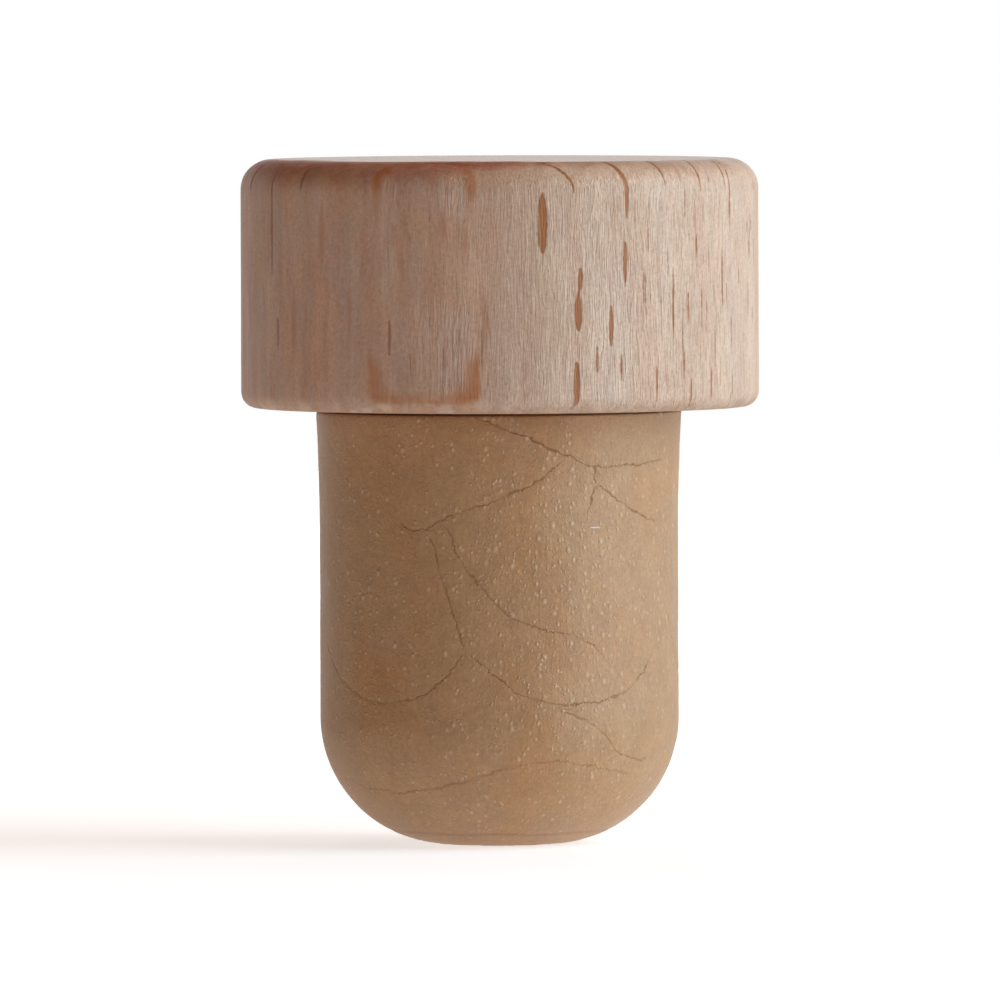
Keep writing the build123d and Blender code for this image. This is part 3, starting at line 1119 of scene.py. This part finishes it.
# %% Beech, its sheen
standing = b.plus(*(b.times(layer, rough_wall) for layer in (fibres, raised, straws)))
bumps = b.plus(b.maths("SUBTRACT", standing, b.times(gaps, rough_wall)), b.times(grit, 0.5))
bumps = b.times(bumps, b.spread(end, 1.0, 0.3))
facing = b.put("ShaderNodeLayerWeight", {"Blend": 0.5}, out="Facing")
dull = b.times(b.ease(end, 0.985, 1.0), b.ease(facing, 0.97, 0.88))
rough = b.plus(b.spread(end, 0.48, 0.26), b.times(burnish, 0.3), b.times(dull, 0.4))
head.data.materials.append(finish(tone, bumps, 0.02, rough, 0.45))
print("nodes in the beech:", len(b.tree.nodes))

# %% [markdown]
# ## Foamed plastic
# The cork is dyed tan. Its tone drifts slowly, warmer inside the tongues, and the bubbles that
# broke open at the wall are pale specks in three sizes. The flow lines come from the attributes
# that the mesh carries: the distance to the line, made ragged by a fine noise, is compared with
# its width.

# %% Foam, its colour
def on_wall(azimuth, height, across=0.0):
    """The place on the cork's wall at that azimuth, in degrees, and height, moved across."""
    a = np.radians(azimuth)
    return float(CORK_RADIUS * np.sin(a) + across), float(-CORK_RADIUS * np.cos(a)), height


def spot_mask(bench, vector, middle, half, inner):
    """1 in the middle of an ellipsoid, from there to the share inner of its half sizes, and 0
    outside of it."""
    off = bench.vector("SUBTRACT", vector, middle)
    off = bench.scaled(off, *(1 / size for size in half))
    return bench.ease(bench.vector("LENGTH", off, out="Value"), 1.0, inner)


ORANGE_PATCH = on_wall(-41, 9.4)  # a warmer spot on the left

b, here, finish = new_material("foamed_plastic")
warm = mottle(b, b.scaled(here, 1, 1, 0.6), 3.5, 0.45, 0.65)
olive = mottle(b, b.moved(here, 4.0, 9.0, 2.0), 1.3, 0.5, 0.68)
drift = mottle(b, here, 1.4, 0.3, 0.7)
drag = streaks(b, here, 0.16, 0.6)
skin_grain = b.noise(here, 4.5, 4.0, 0.8)
patch = spot_mask(b, here, ORANGE_PATCH, (2.5, 2.5, 2.0), 0.0)
tone = b.blend(warm, (0.535, 0.328, 0.18), (0.535, 0.305, 0.153))
tone = b.cover(tone, (0.56, 0.27, 0.11), patch, 0.7)
tone = b.cover(tone, (0.52, 0.335, 0.165), olive, 0.35)
shade = b.times(b.spread(drift, 0.95, 1.05), b.spread(skin_grain, 0.66, 1.34))
tone = b.scaled(tone, b.times(shade, b.spread(drag, 0.97, 1.03)))

crowd = b.attribute("bubbles")
tilted = b.scaled(here, 1, 1, 0.75)
large = specks(b, tilted, 0.44, 0.46, b.spread(crowd, 0.0, 0.85))
middling = specks(b, b.moved(tilted, 7.0, 1.0, 4.0), 0.3, 0.46, crowd)
small = specks(b, here, 0.2, 0.5, b.spread(crowd, 0.35, 0.85))
opened = b.maths("MAXIMUM", large, middling)
pits = specks(b, b.moved(here, 5.0, 3.0, 2.0), 0.7, 0.16, 0.25)
tone = b.cover(tone, (0.84, 0.66, 0.48), opened, 0.58)
tone = b.cover(tone, (0.76, 0.57, 0.40), small, 0.33)
tone = b.cover(tone, (0.25, 0.13, 0.06), pits, 0.5)
print("nodes for the foam's colour:", len(b.tree.nodes))

# %% [markdown]
# Over that come the lines and some painted shade: the weld lines and the mould's step above the
# foot, then painted shade that makes the left browner and darkens the wall under the head, and a
# dark line of painted shade in the crevice where the cork meets the wood. A small nick on the
# right shows fresh, pale plastic.

# %% Foam, its lines and marks
ragged = b.plus(b.noise(here, 3.5, 2.0), b.times(b.noise(here, 12.0, 1.0), 0.5))
gap = b.plus(b.attribute("seam_gap"), b.spread(ragged, -0.11, 0.11, 0.35, 1.15))
wide = b.spread(b.noise(here, 1.6, 1.0), 0.05, 0.10, 0.35, 0.65)
plain = b.spread(b.ease(b.noise(here, 0.9, 2.0), 0.33, 0.55), 0.45, 1.0)
line = b.ease(b.maths("ABSOLUTE", gap), wide, 0.0)
line = b.times(line, plain, b.attribute("seam_show"))
tone = b.cover(tone, (0.26, 0.11, 0.015), line, 0.83)
tone = b.cover(tone, (0.34, 0.13, 0.05), b.attribute("mould_step"), 0.55)

cork_x, _, cork_z = b.parts(here)
# painted shade: the left of the cork, which lies in the lamp's shade, is tinted browner
left = b.ease(cork_x, 5.0, 1.0)
# painted shade under the head, stronger on the left
shade_under_head = b.times(b.ease(cork_z, HEAD_FOOT - 1.5, HEAD_FOOT), b.spread(left, 0.1, 0.8))
tone = b.tint(tone, (0.97, 0.91, 0.845), left)
tone = b.tint(tone, (0.74, 0.68, 0.60), shade_under_head)
# painted shade: a dark line in the crevice under the head
tone = b.cover(tone, (0.14, 0.06, 0.03), b.attribute("crevice"), 0.8)
nick_half = (NICK_HALF[0], NICK_HALF[0], NICK_HALF[1])
nick = spot_mask(b, here, on_wall(*NICK, across=OFF_CENTRE), nick_half, 0.5)
tone = b.cover(tone, (0.92, 0.74, 0.66), nick, 0.9)

bumps = b.plus(skin_grain, b.times(drag, 0.15), b.plus(opened, b.times(small, 0.6)), nick)
bumps = b.maths("SUBTRACT", bumps, b.times(line, 0.4))
cork.data.materials.append(finish(tone, bumps, 0.05, b.spread(drift, 0.33, 0.42)))
print("nodes in the foam:", len(b.tree.nodes))

# %% [markdown]
# ## Glue
# The glue that fills the bore round the tenon keeps its solid from the model, because nothing
# of it shows. It gets a dull cream finish with small bubbles.

# %% Glue material
b, here, finish = new_material("set_glue")
cream = mottle(b, here, 1.5, 0.4, 0.6)
tone = b.blend(cream, (0.74, 0.68, 0.54), (0.66, 0.58, 0.42))
glue = finish(tone, specks(b, here, 0.5, 0.3, 0.3), 0.02, b.spread(cream, 0.45, 0.6))
glue_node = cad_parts["glue_fill"]
glue_node.data.materials.clear()
glue_node.data.materials.append(glue)
print("nodes in the glue:", len(b.tree.nodes))

# %% [markdown]
# ## Floor
# Small goods with a pure white ground are photographed on a light table: a milky sheet, lit
# from below, with a white backdrop. The floor here is such a sheet. It takes the object's
# shadow, and what the camera sees of it is lifted to white. Mirror rays see only a share of that
# white, more of it close to the foot, because all of it would wash out the cork's colour. From
# below the sheet is clear, so that the object can be looked at from there too.

# %% Floor
FLOOR_HALF = 0.6  # metres
FLOOR_SINK = -0.02 * MM  # a little below the foot, so that the two don't coincide
FLOOR_LIFT_NEAR, FLOOR_LIFT_FAR = 0.64, 0.95


def seen_by_eye(bench, mirrored):
    """1 for rays from the camera and through glass, and the given share for mirrored ones."""
    path = bench.put("ShaderNodeLightPath").node.outputs
    seen = bench.maths("MAXIMUM", path["Is Camera Ray"], path["Is Transmission Ray"])
    return bench.maths("MAXIMUM", seen, bench.times(path["Is Glossy Ray"], mirrored))


corners = np.array([(-1, -1), (1, -1), (1, 1), (-1, 1)]) * FLOOR_HALF
sheet = bpy.data.meshes.new("floor")
sheet.from_pydata([(x, y, FLOOR_SINK) for x, y in corners], [], [(0, 1, 2, 3)])
floor = bpy.data.objects.new("floor", sheet)
bpy.context.collection.objects.link(floor)
floor.visible_shadow = False  # the light table shines through it

milky = bpy.data.materials.new("milky_sheet")
b = empty_tree(milky)
from_middle = b.vector("LENGTH", b.put("ShaderNodeTexCoord", out="Object"), out="Value")
lift = b.spread(from_middle, FLOOR_LIFT_NEAR, FLOOR_LIFT_FAR, 0.03, 0.2)
mirrored = b.spread(b.ease(from_middle, 0.045, 0.015), 0.22, 0.6)  # the foot mirrors the sheet
paper = b.put("ShaderNodeBsdfDiffuse", {"Color": (0.77, 0.80, 0.85, 1)})
glow = b.put("ShaderNodeEmission", {"Strength": b.times(seen_by_eye(b, mirrored), lift)})
top = b.put("ShaderNodeAddShader", {0: paper, 1: glow})
under = b.put("ShaderNodeBsdfTransparent")
backface = b.put("ShaderNodeNewGeometry", out="Backfacing")
both = b.put("ShaderNodeMixShader", {0: backface, 1: top, 2: under})
b.put("ShaderNodeOutputMaterial", {"Surface": both})
sheet.materials.append(milky)
print("floor, m across:", 2 * FLOOR_HALF)

# %% [markdown]
# ## Backdrop and room
# The world stands for the backdrop and for the room. The camera sees it white. Mirror rays see
# the white only low behind the object, where the backdrop hangs; that gives the pale rims at
# both sides and the pale top face. Other rays see a dim, warm room, brighter towards the ceiling
# and a little towards the front.

# %% World
ROOM_COLOUR = (1.0, 0.62, 0.38, 1)

world = bpy.data.worlds.new("studio")
bpy.context.scene.world = world
b = empty_tree(world)
_, depth, height = b.parts(b.put("ShaderNodeTexCoord", out="Generated"))
screen = b.times(b.ease(depth, 0.6, 0.97), b.ease(height, 0.5, 0.2))
direct = b.put("ShaderNodeLightPath").node.outputs["Is Camera Ray"]
brightness = b.maths("MAXIMUM", direct, b.spread(screen, 0.06, 1.0))
white = b.put("ShaderNodeBackground", {"Color": (1, 1, 1, 1), "Strength": brightness})
ceiling = b.spread(b.ease(height, 0.1, 1.0), 0.034, 0.25)
front = b.spread(b.ease(depth, 0.0, -1.0), 0.0, 0.05)
room = b.put("ShaderNodeBackground", {"Color": ROOM_COLOUR, "Strength": b.plus(ceiling, front)})
both = b.put("ShaderNodeMixShader", {0: seen_by_eye(b, 1.0), 1: room, 2: white})
b.put("ShaderNodeOutputWorld", {"Surface": both})
print("nodes in the room:", len(b.tree.nodes))

# %% [markdown]
# ## Lamps
# Three plain area lamps light the object: a large cool soft box on the right, a weak warm one
# behind it, and the light that comes up through the table. The left side lies in the shade of
# the cool lamp, so it comes out browner. Mirror rays see only that one: the back lamp would
# show as a spot on the top edge, and of the table's light they see the sheet itself.

# %% Lamps
def soft_box(name, azimuth, elevation, distance, size, watts, colour):
    """A rectangular lamp that looks at the middle of the object from that azimuth and
    elevation, in degrees, and distance, in metres. Its size is its width and its height."""
    a, e = np.radians([azimuth, elevation])
    toward = Vector((np.sin(a) * np.cos(e), -np.cos(a) * np.cos(e), np.sin(e)))
    lamp = bpy.data.lights.new(name, "AREA")
    lamp.shape = "RECTANGLE"
    lamp.size, lamp.size_y = size
    lamp.energy = watts
    lamp.color = colour
    box = bpy.data.objects.new(name, lamp)
    bpy.context.collection.objects.link(box)
    box.location = AIM + toward * distance
    box.rotation_euler = (-toward).to_track_quat("-Z", "Y").to_euler()
    return box


soft_box("key", 78, 20, 0.8, (0.8, 0.7), 5.5, (0.92, 1.06, 1.14))
back_light = soft_box("back_light", 160, 55, 0.8, (0.8, 0.8), 1.45, (1.0, 0.75, 0.55))
back_light.visible_glossy = False
table_light = soft_box("table_light", 0, -90, 0.04, (0.5, 0.5), 0.285, (1.0, 1.06, 1.13))
table_light.visible_glossy = False  # the sheet itself is what mirrors see
table_light.data.cycles.use_multiple_importance_sampling = False  # the sheet hides it
bpy.context.scene.view_settings.view_transform = "Standard"
print("lamps:", [lamp.name for lamp in bpy.data.lights])
